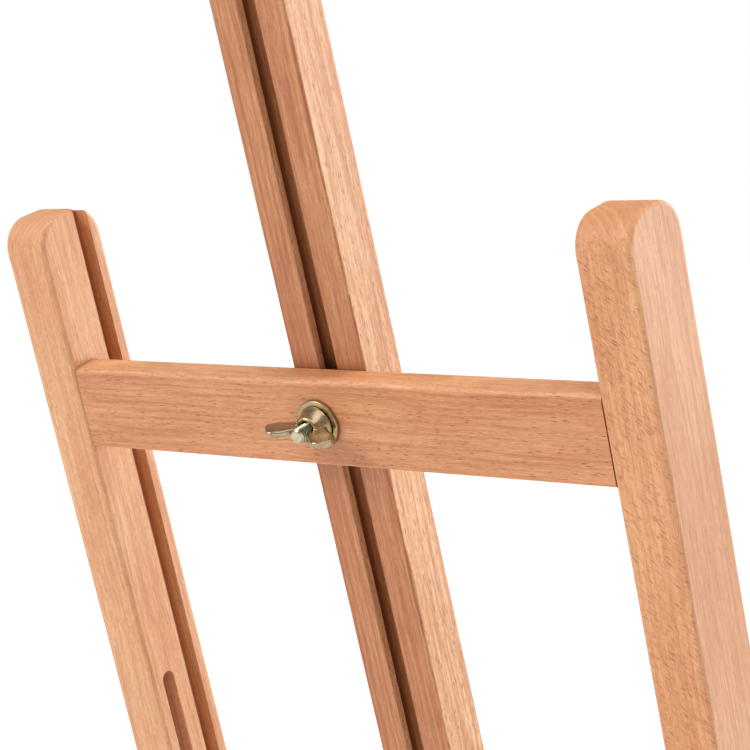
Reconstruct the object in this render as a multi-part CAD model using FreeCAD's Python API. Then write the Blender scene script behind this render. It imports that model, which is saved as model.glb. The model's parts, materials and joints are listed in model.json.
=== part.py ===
"""Tabletop H-frame artist easel in beech, with zinc-plated M6 clamping hardware.

Millimetres, +Z up, origin on the table at the middle of the base, the artist on the -Y side.
The H-frame and the mast are drawn upright, with the frame hinge on the X axis, and then leaned back.
"""
import FreeCAD, Part
import math
import os

V = FreeCAD.Vector
X_AXIS = V(1, 0, 0)
Y_AXIS = V(0, 1, 0)
Z_AXIS = V(0, 0, 1)
SIDES = {"left": 1, "right": -1}          # seen from the back of the easel, left is +X

# ---- H-frame ----
POST_W = 21.4                # post, across the easel
POST_D = 31.4                # post, front to back
FRAME_GAP = 244.0            # clear width between the posts
POST_TOP = 569.2             # top of the posts above the frame hinge
POST_FOOT = 14.0             # post below the frame hinge
ARCH_R = 12.0                # rounding of the post ends, seen from the side
POST_ARRIS = 1.8             # small roundover along the post edges
SLOT_V = 8.6                 # slot and hinge line, in front of the back face
SLOT_W = 6.5
SLOT_LOW = 80.0              # slot ends above the frame hinge
SLOT_HIGH = 375.0
GROOVE_V = 19.3              # guide groove in the inner face, in front of the back face
GROOVE_W = 7.0
GROOVE_DEPTH = 7.0
GROOVE_STOP = 18.0            # solid wood left above the groove of the right post
BAR_H = 32.6
BAR_T = 12.0
BAR_SET = 0.5                # crossbar set in from the back face of the posts
BAR_ARRIS = 3.0
SMALL_ARRIS = 1.0
UPPER_BAR = 478.0            # lower edge of the upper crossbar above the frame hinge
LOWER_BAR = 28.0
DOWEL_R = 3.0
DOWEL_L = 30.0
DOWEL_PITCH = 15.0

# ---- mast and tray ----
SLIDE_GAP = 0.15             # clearance between sliding flat faces
MAST_W = 34.0
MAST_D = 20.0
MAST_LOW = 150.0
MAST_TOP = 790.0
MAST_ARRIS = 1.0
TEE_OPEN = 8.6               # mouth of the T-slot in the back of the mast
TEE_LIP = 3.2
TEE_W = 16.0
TEE_D = 3.8
TEE_HEAD_W = 13.0
TEE_HEAD_H = 3.2
CLAMP_BOLT_L = 29.0
CLAMP_BOLT_X = 0.6           # the clamping bolt, off the middle of the crossbar
MAST_OFFSET = 1.1            # the mast sits this far to the left of its bolt
MAST_SKEW = 0.62             # and leans to the left by this angle, in degrees, within the guides' play
GUIDE_PLAY = 1.6             # room beside the guides that lets the mast stand askew
TRAY_T = 14.0                # tray rail, front to back
TRAY_RAIL_H = 34.0
TRAY_RAIL_W = 280.0
SHELF_W = 300.0
SHELF_D = 60.0
SHELF_T = 10.0
LIP_T = 10.0
LIP_H = 24.0
GUIDE_W = 16.0
GUIDE_H = 34.0

# ---- top canvas clamp ----
CLAMP_LOW = 752.0
CLAMP_H = 32.0
CHEEK_T = 10.0
CLAMP_FRONT_T = 10.0
CLAMP_BACK_T = 7.5
CLAMP_ARM_D = 40.0
CLAMP_ARM_T = 12.0
CLAMP_LIP_T = 8.0
CLAMP_LIP_H = 22.0

# ---- base ----
LEAN = 18.0                  # H-frame lean at rest, degrees from upright
BASE_L = 350.0
RUNNER_W = 20.0
RUNNER_H = 30.0
FOOT_H = 3.0
FOOT_R = 8.0
HINGE_Y = -100.0             # frame hinge
HINGE_Z = 20.0
BRACE_L = 250.0              # frame hinge to brace hinge, and also the brace's own length
FRONT_RAIL_T = 18.0
REAR_RAIL_T = 12.0
SIDE_PLAY = 1.0              # gap between neighbouring wooden sides, filled by a washer
BRACE_T = 15.0
BRACE_H = 18.0
STRETCHER_T = 12.0
STRETCHER_H = 24.0

# ---- M6 hardware ----
BOLT_R = 3.0
BORE_R = 3.06                # running fit on the bolts
HOLE_R = 3.25
WASHER_R = 9.0
WASHER_T = 1.6
SHIM_T = 0.8
SHIM_R = 8.0
NUT_AF = 10.0
NUT_H = 6.0
HEAD_R = 7.3
HEAD_H = 3.3
NECK = 6.0
NECK_H = 3.5
WING_HUB_R = 7.2
WING_HUB_TOP_R = 5.2
WING_HUB_H = 6.5
WING_T = 3.2
WING_EAR_R = 4.8
WING_ROOT_R = 2.9
WING_ROOT_AT = (2.6, 3.5)
WING_EDGE_R = 1.1
WING_EAR_AT = (9.8, 9.6)     # ear centre: out from the axis, and up from the seat
WING_TURN = 10.0             # how far the mast wing nut stands off level, degrees
SCREW_R = 1.9
SCREW_HEAD_R = 3.9
SCREW_HEAD_H = 2.6
FIT = 0.05                   # clearance round a fixed dowel, screw or neck

POST_X = FRAME_GAP / 2                       # inner face of a post
POST_OUT = POST_X + POST_W                   # outer face of a post
RUNNER_X = POST_OUT + SIDE_PLAY              # inner face of a runner
RUNNER_OUT = RUNNER_X + RUNNER_W
BRACE_OUT = POST_X - SIDE_PLAY
BRACE_X = BRACE_OUT - BRACE_T
BACK = SLOT_V                                # y of the post back faces in the upright frame
FRONT = SLOT_V - POST_D
BAR_BACK = BACK - BAR_SET
BAR_FRONT = BAR_BACK - BAR_T
MAST_BACK = BAR_FRONT - SLIDE_GAP
MAST_FRONT = MAST_BACK - MAST_D
TRAY_BACK = MAST_FRONT
TRAY_FRONT = TRAY_BACK - TRAY_T
POST_ANGLE = 90.0 - LEAN                     # post direction above the table, from +Y
REST_SLOT = 2 * BRACE_L * math.cos(math.radians(POST_ANGLE))   # bolt place along the slot
BASE_HALF = BASE_L / 2
RUNNER_TOP = FOOT_H + RUNNER_H
BRACE_HINGE_Y = HINGE_Y + BRACE_L
MAST_BOLT_Z = UPPER_BAR + BAR_H / 2

nodes = {}


# ---- shape helpers ----
def box(x, y, z):
    """A box from three (low, high) pairs."""
    return Part.makeBox(x[1] - x[0], y[1] - y[0], z[1] - z[0], V(x[0], y[0], z[0]))


def rod(radius, start, length, axis):
    return Part.makeCylinder(radius, length, start, axis)


def runs_along(edge, axis):
    """True for a straight edge parallel to the axis."""
    if not isinstance(edge.Curve, Part.Line):
        return False
    return abs(edge.tangentAt(edge.FirstParameter).dot(axis)) > 0.999


def soften(shape, axis, radius, keep=lambda point: True):
    """Round the straight edges along one axis whose middle passes the test."""
    edges = [e for e in shape.Edges if runs_along(e, axis) and keep(e.CenterOfMass)]
    return shape.makeFillet(radius, edges)


def rounded_plank(x, y, z, end_radii, arris):
    """A plank along Z, its two ends rounded in the YZ plane, its side outlines rounded over."""
    low_r, high_r = end_radii
    plank = box(x, y, z)
    middle = (z[0] + z[1]) / 2
    plank = soften(plank, X_AXIS, high_r, lambda p: p.z > middle)
    plank = soften(plank, X_AXIS, low_r, lambda p: p.z < middle)
    outline = [e for e in plank.Edges if abs(abs(e.CenterOfMass.x - sum(x) / 2) - (x[1] - x[0]) / 2) < 1e-6]
    return plank.makeFillet(arris, outline)


def mirrored(shape):
    return shape.mirror(V(0, 0, 0), X_AXIS)


def for_side(shape, side):
    """A shape drawn on the +X side, or its mirror image on the -X side."""
    if side > 0:
        return shape
    return mirrored(shape)


def pair(shape):
    """The same piece on both sides, as one group of two solids."""
    return Part.makeCompound([shape, mirrored(shape)])


def turned(shape, angle, axis=X_AXIS, centre=V(0, 0, 0)):
    copy = shape.copy()
    copy.rotate(centre, axis, angle)
    return copy


def moved(shape, offset):
    copy = shape.copy()
    copy.translate(offset)
    return copy


def aimed(shape, start, direction):
    """A piece drawn up the Z axis, set at a point and aimed along a direction."""
    copy = shape.copy()
    copy.Placement = FreeCAD.Placement(start, FreeCAD.Rotation(Z_AXIS, direction))
    return copy


def leaned(shape):
    """From the upright frame to the rest pose on the base."""
    return moved(turned(shape, -LEAN), V(0, HINGE_Y, HINGE_Z))


def askew(shape):
    """The mast's own slight turn and offset at the clamping bolt."""
    turned_shape = turned(shape, MAST_SKEW, Y_AXIS, V(0, 0, MAST_BOLT_Z))
    return moved(turned_shape, V(CLAMP_BOLT_X + MAST_OFFSET, 0, 0))


def braced(shape):
    """From a brace drawn along +Y from its hinge to the rest pose."""
    return moved(turned(shape, 2 * POST_ANGLE), V(0, BRACE_HINGE_Y, HINGE_Z))


# ---- hardware ----
def washer(thickness, outer_r, bore_r):
    ring = Part.makeCylinder(outer_r, thickness)
    edge = [e for e in ring.Edges if abs(e.CenterOfMass.z - thickness) < 1e-6 and e.Closed]
    ring = ring.makeChamfer(thickness * 0.25, edge)
    return ring.cut(Part.makeCylinder(bore_r, thickness))


def hexagon(across, height):
    corner = across / math.sqrt(3)
    points = [V(corner * math.cos(math.radians(a)), corner * math.sin(math.radians(a)), 0)
              for a in range(0, 361, 60)]
    return Part.Face(Part.makePolygon(points)).extrude(V(0, 0, height))


def lock_nut():
    """A hexagon nut with a plain collar, its seat at z = 0."""
    collar_h = 1.2
    body = hexagon(NUT_AF, NUT_H - collar_h)
    cone = Part.makeCone(NUT_AF * 0.72, NUT_AF * 0.5, NUT_H, V(0, 0, 0))
    collar = Part.makeCylinder(NUT_AF * 0.45, NUT_H)
    return body.common(cone).fuse(collar).removeSplitter().cut(Part.makeCylinder(BORE_R, NUT_H))


def shank(length):
    """A bolt shank up the Z axis with a chamfered end."""
    stem = Part.makeCylinder(BOLT_R, length)
    tip = [e for e in stem.Edges if e.Closed and abs(e.CenterOfMass.z - length) < 1e-6]
    return stem.makeChamfer(0.6, tip)


def carriage_bolt(length):
    """A cup-head square-neck bolt, the underside of its head at z = 0 and the shank up."""
    sphere_r = (HEAD_R ** 2 + HEAD_H ** 2) / (2 * HEAD_H)
    ball = Part.makeSphere(sphere_r, V(0, 0, sphere_r - HEAD_H))
    head = ball.common(Part.makeCylinder(HEAD_R, HEAD_H, V(0, 0, -HEAD_H)))
    neck = box((-NECK / 2, NECK / 2), (-NECK / 2, NECK / 2), (0, NECK_H))
    return head.fuse(neck).fuse(shank(length)).removeSplitter()


def neck_pocket():
    half = NECK / 2 + FIT
    return box((-half, half), (-half, half), (0, NECK_H + FIT))


def tee_bolt(length):
    """A square-head bolt for the T-slot, the underside of its head at z = 0."""
    half = TEE_HEAD_W / 2
    head = box((-half, half), (-half, half), (-TEE_HEAD_H, 0))
    head = head.common(Part.makeCone(half * 1.2, half * 1.6, TEE_HEAD_H, V(0, 0, -TEE_HEAD_H)))
    return head.fuse(shank(length)).removeSplitter()


def ear_outline(y):
    """The outline of one ear: the ear's circle and a smaller one at its root, joined by tangents."""
    (root_x, root_z), (ear_x, ear_z) = WING_ROOT_AT, WING_EAR_AT
    span = math.hypot(ear_x - root_x, ear_z - root_z)
    heading = math.atan2(ear_z - root_z, ear_x - root_x)
    lean = math.acos((WING_ROOT_R - WING_EAR_R) / span)

    def on_circle(centre, radius, angle):
        return V(centre[0] + radius * math.cos(angle), y, centre[1] + radius * math.sin(angle))

    upper, lower = heading + lean, heading - lean
    root_up, root_low = on_circle(WING_ROOT_AT, WING_ROOT_R, upper), on_circle(WING_ROOT_AT, WING_ROOT_R, lower)
    ear_up, ear_low = on_circle(WING_EAR_AT, WING_EAR_R, upper), on_circle(WING_EAR_AT, WING_EAR_R, lower)
    root_end = on_circle(WING_ROOT_AT, WING_ROOT_R, heading + math.pi)
    ear_end = on_circle(WING_EAR_AT, WING_EAR_R, heading)
    return Part.Wire([Part.Arc(root_up, root_end, root_low).toShape(), Part.LineSegment(root_low, ear_low).toShape(),
                      Part.Arc(ear_low, ear_end, ear_up).toShape(), Part.LineSegment(ear_up, root_up).toShape()])


def wings():
    """The two ears of a wing nut, joined through its hub."""
    ear = Part.Face(ear_outline(-WING_T / 2)).extrude(V(0, WING_T, 0))
    rims = [e for e in ear.Edges if e.BoundBox.YLength < 1e-3]
    ear = ear.makeFillet(WING_EDGE_R, rims)
    return ear.fuse(mirrored(ear))


def wing_hub():
    cone = Part.makeCone(WING_HUB_R, WING_HUB_TOP_R, WING_HUB_H)
    return cone.fuse(wings()).removeSplitter()


def wing_nut():
    """Seat at z = 0, threaded right through."""
    bore = Part.makeCylinder(BORE_R, 30, V(0, 0, -1))
    mouth = Part.makeCone(BORE_R, BORE_R + 1.0, 1.0, V(0, 0, WING_HUB_H - 1.0))
    return wing_hub().cut(bore).cut(mouth)


def wing_screw(length):
    """A wing nut head on a solid stem that points down the Z axis."""
    stem = aimed(shank(length), V(0, 0, 1), V(0, 0, -1))
    return wing_hub().fuse(stem).removeSplitter()


def wood_screw(length):
    """A countersunk cross-recess screw, its head flush at z = 0 and pointing down."""
    head = Part.makeCone(SCREW_R, SCREW_HEAD_R, SCREW_HEAD_H, V(0, 0, -SCREW_HEAD_H))
    stem = Part.makeCylinder(SCREW_R, length - 5, V(0, 0, 5 - length))
    point = Part.makeCone(0.3, SCREW_R, 5, V(0, 0, -length))
    recess = box((-2.3, 2.3), (-0.4, 0.4), (-1.5, 0))
    screw = head.fuse(stem).fuse(point).removeSplitter()
    return screw.cut(recess).cut(turned(recess, 90, Z_AXIS))


def screw_hole(length):
    head = Part.makeCone(SCREW_R + FIT, SCREW_HEAD_R + FIT, SCREW_HEAD_H, V(0, 0, -SCREW_HEAD_H))
    stem = Part.makeCylinder(SCREW_R + FIT, length + FIT, V(0, 0, -length - FIT))
    return head.fuse(stem)


def drive(places, length, *pieces):
    """Cut screw holes in the pieces; returns the screws and the cut pieces.

    Each place is the head's point and the direction that the head faces.
    """
    screws = [aimed(wood_screw(length), point, facing) for point, facing in places]
    holes = Part.makeCompound([aimed(screw_hole(length), point, facing) for point, facing in places])
    return Part.makeCompound(screws), [piece.cut(holes) for piece in pieces]


# ---- H-frame ----
def post(groove_top):
    """The +X post in the upright frame, its groove open at the foot."""
    shape = rounded_plank((POST_X, POST_OUT), (FRONT, BACK), (-POST_FOOT, POST_TOP), (ARCH_R, ARCH_R), POST_ARRIS)
    groove_back = BACK - GROOVE_V
    groove = box((POST_X - 1, POST_X + GROOVE_DEPTH), (groove_back - GROOVE_W, groove_back),
                 (-POST_FOOT - 1, groove_top))
    slot = box((POST_X - 1, POST_OUT + 1), (-SLOT_W / 2, SLOT_W / 2), (SLOT_LOW, SLOT_HIGH))
    slot = soften(slot, X_AXIS, SLOT_W / 2 - 0.01)
    return shape.cut(groove).cut(slot).cut(rod(BORE_R, V(POST_X - 1, 0, 0), POST_W + 2, X_AXIS))


def dowel_places(bar_low):
    middle = bar_low + BAR_H / 2
    return [V(POST_X - DOWEL_L / 2, BAR_BACK - BAR_T / 2, middle + step * DOWEL_PITCH / 2) for step in (-1, 1)]


def dowels():
    """Fluted-length plain dowels with chamfered ends, two at each end of each crossbar."""
    peg = Part.makeCylinder(DOWEL_R, DOWEL_L)
    peg = peg.makeChamfer(0.8, [e for e in peg.Edges if e.Closed and e.Length > 2 * DOWEL_R])
    group = []
    for bar_low in (LOWER_BAR, UPPER_BAR):
        for place in dowel_places(bar_low):
            one = aimed(peg, place, X_AXIS)
            group += [one, mirrored(one)]
    return Part.makeCompound(group)


def dowel_holes():
    group = []
    for bar_low in (LOWER_BAR, UPPER_BAR):
        for place in dowel_places(bar_low):
            one = rod(DOWEL_R + FIT, place - V(FIT, 0, 0), DOWEL_L + 2 * FIT, X_AXIS)
            group += [one, mirrored(one)]
    return Part.makeCompound(group)


def crossbar(low):
    """A crossbar between the posts, its upper back edge more rounded than the others."""
    bar = box((-POST_X, POST_X), (BAR_FRONT, BAR_BACK), (low, low + BAR_H))
    middle = (BAR_BACK + BAR_FRONT) / 2
    bar = soften(bar, X_AXIS, BAR_ARRIS, lambda p: p.y > middle and p.z > low + 1)
    rest = [e for e in bar.Edges if runs_along(e, X_AXIS)
            and (e.CenterOfMass.y < middle or e.CenterOfMass.z < low + 1)]
    corners = [e for e in rest if abs(e.CenterOfMass.y - BAR_FRONT) < 1e-6 or e.CenterOfMass.z < low + 1e-6]
    return bar.makeFillet(SMALL_ARRIS, corners)


def build_frame():
    holes = dowel_holes()
    groove_tops = {"left": POST_TOP + 1, "right": POST_TOP - GROOVE_STOP}
    for name, side in SIDES.items():
        nodes["post_" + name] = leaned(for_side(post(groove_tops[name]).cut(holes), side))
    clamp_hole = rod(HOLE_R, V(CLAMP_BOLT_X, BAR_BACK + 1, MAST_BOLT_Z), BAR_T + 2, -Y_AXIS)
    nodes["upper_crossbar"] = leaned(crossbar(UPPER_BAR).cut(holes).cut(clamp_hole))
    nodes["lower_crossbar"] = leaned(crossbar(LOWER_BAR).cut(holes))
    nodes["crossbar_dowels"] = leaned(dowels())
    bolt_seat = V(CLAMP_BOLT_X, MAST_BACK - TEE_LIP, MAST_BOLT_Z)
    nodes["mast_clamp_bolt"] = leaned(aimed(tee_bolt(CLAMP_BOLT_L), bolt_seat, Y_AXIS))
    washer_seat = V(CLAMP_BOLT_X, BAR_BACK, MAST_BOLT_Z)
    nodes["mast_clamp_washer"] = leaned(aimed(washer(WASHER_T, WASHER_R, BORE_R), washer_seat, Y_AXIS))
    nut = turned(aimed(wing_nut(), V(0, 0, 0), Y_AXIS), -WING_TURN, Y_AXIS)
    nodes["mast_wing_nut"] = leaned(moved(nut, washer_seat + V(0, WASHER_T, 0)))


# ---- mast and tray ----
def mast():
    shape = box((-MAST_W / 2, MAST_W / 2), (MAST_FRONT, MAST_BACK), (MAST_LOW, MAST_TOP))
    shape = soften(shape, Z_AXIS, MAST_ARRIS)
    length = (MAST_LOW - 1, MAST_TOP + 1)
    mouth = box((-TEE_OPEN / 2, TEE_OPEN / 2), (MAST_BACK - TEE_LIP - 1, MAST_BACK + 1), length)
    cavity = box((-TEE_W / 2, TEE_W / 2), (MAST_BACK - TEE_LIP - TEE_D, MAST_BACK - TEE_LIP), length)
    return shape.cut(mouth).cut(cavity)


def guide():
    """The +X guide: a block behind the tray rail with a tongue in the post's groove."""
    tongue_back = BACK - GROOVE_V - SLIDE_GAP
    tongue = (tongue_back - GROOVE_W + 2 * SLIDE_GAP, tongue_back)
    height = (MAST_LOW, MAST_LOW + GUIDE_H)
    inner = POST_X - GUIDE_PLAY
    block = box((inner - GUIDE_W, inner), (TRAY_BACK, tongue_back), height)
    key = box((inner - 1, POST_X + GROOVE_DEPTH - GUIDE_PLAY), tongue, height)
    block = block.fuse(key).removeSplitter()
    return soften(block, Z_AXIS, 1.0, lambda p: p.x < inner - 1 and p.y > TRAY_BACK + 1)


def build_mast():
    rail_top = MAST_LOW + TRAY_RAIL_H
    rail = box((-TRAY_RAIL_W / 2, TRAY_RAIL_W / 2), (TRAY_FRONT, TRAY_BACK), (MAST_LOW, rail_top))
    rail = soften(rail, X_AXIS, SMALL_ARRIS, lambda p: p.z < rail_top - 1)
    shelf_back = TRAY_BACK - 0.4
    shelf_front = shelf_back - SHELF_D
    shelf_top = rail_top + SHELF_T
    shelf = box((-SHELF_W / 2, SHELF_W / 2), (shelf_front, shelf_back), (rail_top, shelf_top))
    shelf = soften(shelf, Z_AXIS, 2.0, lambda p: p.y > shelf_front + 1)
    lip = box((-SHELF_W / 2, SHELF_W / 2), (shelf_front - LIP_T, shelf_front), (rail_top, rail_top + LIP_H))
    lip = soften(lip, X_AXIS, 2.5, lambda p: p.z > rail_top + 1)

    mast_places = [(V(0, TRAY_FRONT, MAST_LOW + height), -Y_AXIS) for height in (9.0, 25.0)]
    mast_screws, (rail, mast_shape) = drive(mast_places, 22.0, rail, askew(mast()))
    guide_x = POST_X - GUIDE_PLAY - GUIDE_W / 2
    guide_places = [(V(side * guide_x, TRAY_FRONT, MAST_LOW + height), -Y_AXIS)
                    for side in (1, -1) for height in (9.0, 25.0)]
    guide_shapes = {name: for_side(guide(), side) for name, side in SIDES.items()}
    guide_screws, (rail, left, right) = drive(guide_places, 24.0, rail, guide_shapes["left"], guide_shapes["right"])
    rail_middle = (TRAY_FRONT + TRAY_BACK) / 2
    shelf_places = [(V(x, rail_middle, shelf_top), Z_AXIS) for x in (-90.0, -30.0, 30.0, 90.0)]
    shelf_screws, (shelf, rail) = drive(shelf_places, 30.0, shelf, rail)
    lip_places = [(V(x, shelf_front - LIP_T, rail_top + SHELF_T / 2), -Y_AXIS) for x in (-120.0, 0.0, 120.0)]
    lip_screws, (lip, shelf) = drive(lip_places, 28.0, lip, shelf)

    nodes["mast"] = leaned(mast_shape)
    nodes["tray_rail"] = leaned(rail)
    nodes["tray_guide_left"] = leaned(left)
    nodes["tray_guide_right"] = leaned(right)
    nodes["tray_shelf"] = leaned(shelf)
    nodes["tray_lip"] = leaned(lip)
    nodes["mast_screws"] = leaned(mast_screws)
    nodes["guide_screws"] = leaned(guide_screws)
    nodes["shelf_screws"] = leaned(shelf_screws)
    nodes["lip_screws"] = leaned(lip_screws)


# ---- top canvas clamp ----
def build_clamp():
    half = MAST_W / 2 + 0.3
    outer = half + CHEEK_T
    front = MAST_FRONT - SLIDE_GAP
    back = MAST_BACK + SLIDE_GAP
    height = (CLAMP_LOW, CLAMP_LOW + CLAMP_H)
    top = height[1]
    saddle = box((-outer, outer), (front - CLAMP_FRONT_T, back), height)
    saddle = saddle.cut(box((-half, half), (front, back + 1), (height[0] - 1, top + 1)))
    saddle = soften(saddle, Z_AXIS, 2.0, lambda p: abs(p.x) > outer - 1 and p.y < front)
    plate = box((-outer, outer), (back, back + CLAMP_BACK_T), height)
    plate = soften(plate, Z_AXIS, 2.0, lambda p: p.y > back + 1)
    arm_back = front - CLAMP_FRONT_T
    arm_top = CLAMP_LOW + CLAMP_ARM_T
    arm = box((-outer, outer), (arm_back - CLAMP_ARM_D, arm_back), (CLAMP_LOW, arm_top))
    arm = soften(arm, Z_AXIS, 6.0, lambda p: p.y < arm_back - 1)
    lip_front = arm_back - CLAMP_ARM_D
    lip_half = outer - 6.0
    lip = box((-lip_half, lip_half), (lip_front, lip_front + CLAMP_LIP_T), (CLAMP_LOW - CLAMP_LIP_H, CLAMP_LOW))
    lip = soften(lip, X_AXIS, 2.0, lambda p: p.z < CLAMP_LOW - 1)

    cheek_middle = half + CHEEK_T / 2
    plate_places = [(V(side * cheek_middle, back + CLAMP_BACK_T, CLAMP_LOW + rise), Y_AXIS)
                    for side in (1, -1) for rise in (7.0, 25.0)]
    plate_screws, (plate, saddle) = drive(plate_places, 20.0, plate, saddle)
    arm_places = [(V(side * 11.0, front, CLAMP_LOW + CLAMP_ARM_T / 2), Y_AXIS) for side in (1, -1)]
    arm_screws, (saddle, arm) = drive(arm_places, 26.0, saddle, arm)
    lip_places = [(V(side * 12.0, lip_front + CLAMP_LIP_T / 2, arm_top), Z_AXIS) for side in (1, -1)]
    lip_screws, (arm, lip) = drive(lip_places, 26.0, arm, lip)

    screw_z = CLAMP_LOW + CLAMP_H / 2
    screw_y = (MAST_FRONT + MAST_BACK) / 2
    insert_r = 4.5
    insert_l = 8.0
    insert = aimed(washer(insert_l, insert_r, BORE_R), V(outer - insert_l, screw_y, screw_z), X_AXIS)
    pocket = rod(insert_r + FIT, V(outer - insert_l - FIT, screw_y, screw_z), insert_l + 1, X_AXIS)
    through = rod(BOLT_R + 0.4, V(half - 1, screw_y, screw_z), CHEEK_T + 2, X_AXIS)
    saddle = saddle.cut(pocket).cut(through)
    standing = 5.0
    reach = outer + standing - half + 1.0
    screw = aimed(wing_screw(reach), V(outer + standing, screw_y, screw_z), X_AXIS)

    nodes["clamp_saddle"] = leaned(askew(saddle))
    nodes["clamp_back_plate"] = leaned(askew(plate))
    nodes["clamp_arm"] = leaned(askew(arm))
    nodes["clamp_lip"] = leaned(askew(lip))
    nodes["clamp_plate_screws"] = leaned(askew(plate_screws))
    nodes["clamp_arm_screws"] = leaned(askew(arm_screws))
    nodes["clamp_lip_screws"] = leaned(askew(lip_screws))
    nodes["clamp_insert"] = leaned(askew(insert))
    nodes["clamp_wing_screw"] = leaned(askew(screw))


# ---- base ----
def runner():
    """The +X runner, with the bolt holes of both hinges."""
    length = rounded_plank((RUNNER_X, RUNNER_OUT), (0, RUNNER_H), (-BASE_HALF, BASE_HALF), (6.0, 6.0), POST_ARRIS)
    lying = turned(length, 90)
    lying = moved(lying, V(0, 0, FOOT_H))
    for y in (HINGE_Y, BRACE_HINGE_Y):
        lying = lying.cut(rod(HOLE_R, V(RUNNER_X - 1, y, HINGE_Z), RUNNER_W + 2, X_AXIS))
        lying = lying.cut(aimed(neck_pocket(), V(RUNNER_OUT, y, HINGE_Z), -X_AXIS))
    return lying


def rail(y):
    bar = box((-RUNNER_X, RUNNER_X), y, (FOOT_H, RUNNER_TOP))
    return soften(bar, X_AXIS, POST_ARRIS)


def hinge_hardware(y, inner_x):
    """Carriage bolt from the runner's outer face, shim, washer and lock nut at the inner side."""
    length = RUNNER_OUT - inner_x + WASHER_T + NUT_H + 3.0
    bolt = aimed(carriage_bolt(length), V(RUNNER_OUT, y, HINGE_Z), -X_AXIS)
    washer_x = inner_x - 0.1
    inner = aimed(washer(WASHER_T, WASHER_R, BORE_R), V(washer_x, y, HINGE_Z), -X_AXIS)
    nut = aimed(lock_nut(), V(washer_x - WASHER_T, y, HINGE_Z), -X_AXIS)
    return bolt, inner, nut


def shim(x, y):
    """A thin washer in the gap beside a wooden side."""
    return aimed(washer(SHIM_T, SHIM_R, BORE_R), V(x + (SIDE_PLAY - SHIM_T) / 2, y, HINGE_Z), X_AXIS)


def build_base():
    front_y = (-BASE_HALF, -BASE_HALF + FRONT_RAIL_T)
    rear_y = (BASE_HALF - REAR_RAIL_T, BASE_HALF)
    block_y = (BRACE_HINGE_Y - 18.0, BRACE_HINGE_Y + 12.0)
    side = runner()
    front_rail = rail(front_y)
    rear_rail = rail(rear_y)
    block = box((POST_X, RUNNER_X), block_y, (FOOT_H, RUNNER_TOP))
    block = soften(block, X_AXIS, POST_ARRIS)
    block = block.cut(rod(HOLE_R, V(POST_X - 1, BRACE_HINGE_Y, HINGE_Z), RUNNER_X - POST_X + 2, X_AXIS))

    rail_heights = (FOOT_H + 8.0, FOOT_H + 22.0)
    places = [(V(RUNNER_OUT, sum(y) / 2, z), X_AXIS) for y in (front_y, rear_y) for z in rail_heights]
    screws, (side, front_rail, rear_rail) = drive(places, 42.0, side, front_rail, rear_rail)
    front_rail = front_rail.common(mirrored(front_rail))
    rear_rail = rear_rail.common(mirrored(rear_rail))
    block_places = [(V(RUNNER_OUT, BRACE_HINGE_Y - 13.0, z), X_AXIS) for z in rail_heights]
    block_screws, (side, block) = drive(block_places, 36.0, side, block)

    frame_bolt, frame_washer, frame_nut = hinge_hardware(HINGE_Y, POST_X)
    brace_bolt, brace_washer, brace_nut = hinge_hardware(BRACE_HINGE_Y, BRACE_X)
    feet = [Part.makeCylinder(FOOT_R, FOOT_H, V(sx * (RUNNER_X + RUNNER_W / 2), sy * (BASE_HALF - 25.0), 0))
            for sx in (1, -1) for sy in (1, -1)]
    feet = [foot.makeChamfer(0.6, [e for e in foot.Edges if e.Closed and e.CenterOfMass.z < 0.1]) for foot in feet]

    for name, sign in SIDES.items():
        nodes["runner_" + name] = for_side(side, sign)
        nodes["hinge_block_" + name] = for_side(block, sign)
    nodes["front_rail"] = front_rail
    nodes["rear_rail"] = rear_rail
    nodes["rubber_feet"] = Part.makeCompound(feet)
    nodes["base_screws"] = pair(screws)
    nodes["hinge_block_screws"] = pair(block_screws)
    nodes["frame_hinge_bolts"] = pair(frame_bolt)
    nodes["frame_hinge_shims"] = pair(shim(POST_OUT, HINGE_Y))
    nodes["frame_hinge_washers"] = pair(frame_washer)
    nodes["frame_hinge_nuts"] = pair(frame_nut)
    nodes["brace_hinge_bolts"] = pair(brace_bolt)
    nodes["brace_hinge_shims"] = pair(shim(BRACE_OUT, BRACE_HINGE_Y))
    nodes["brace_hinge_washers"] = pair(brace_washer)
    nodes["brace_hinge_nuts"] = pair(brace_nut)


# ---- braces ----
def brace():
    """The +X brace along +Y from its hinge, round at both ends."""
    half = BRACE_H / 2
    strip = box((BRACE_X, BRACE_OUT), (0, BRACE_L), (-half, half))
    for y in (0, BRACE_L):
        strip = strip.fuse(rod(half, V(BRACE_X, y, 0), BRACE_T, X_AXIS))
    strip = strip.removeSplitter()
    outline = [e for e in strip.Edges if e.BoundBox.XLength < 1e-6]
    strip = strip.makeFillet(1.2, outline)
    strip = strip.cut(rod(BORE_R, V(BRACE_X - 1, 0, 0), BRACE_T + 2, X_AXIS))
    strip = strip.cut(rod(HOLE_R, V(BRACE_X - 1, BRACE_L, 0), BRACE_T + 2, X_AXIS))
    return strip.cut(aimed(neck_pocket(), V(BRACE_X, BRACE_L, 0), X_AXIS))


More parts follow.
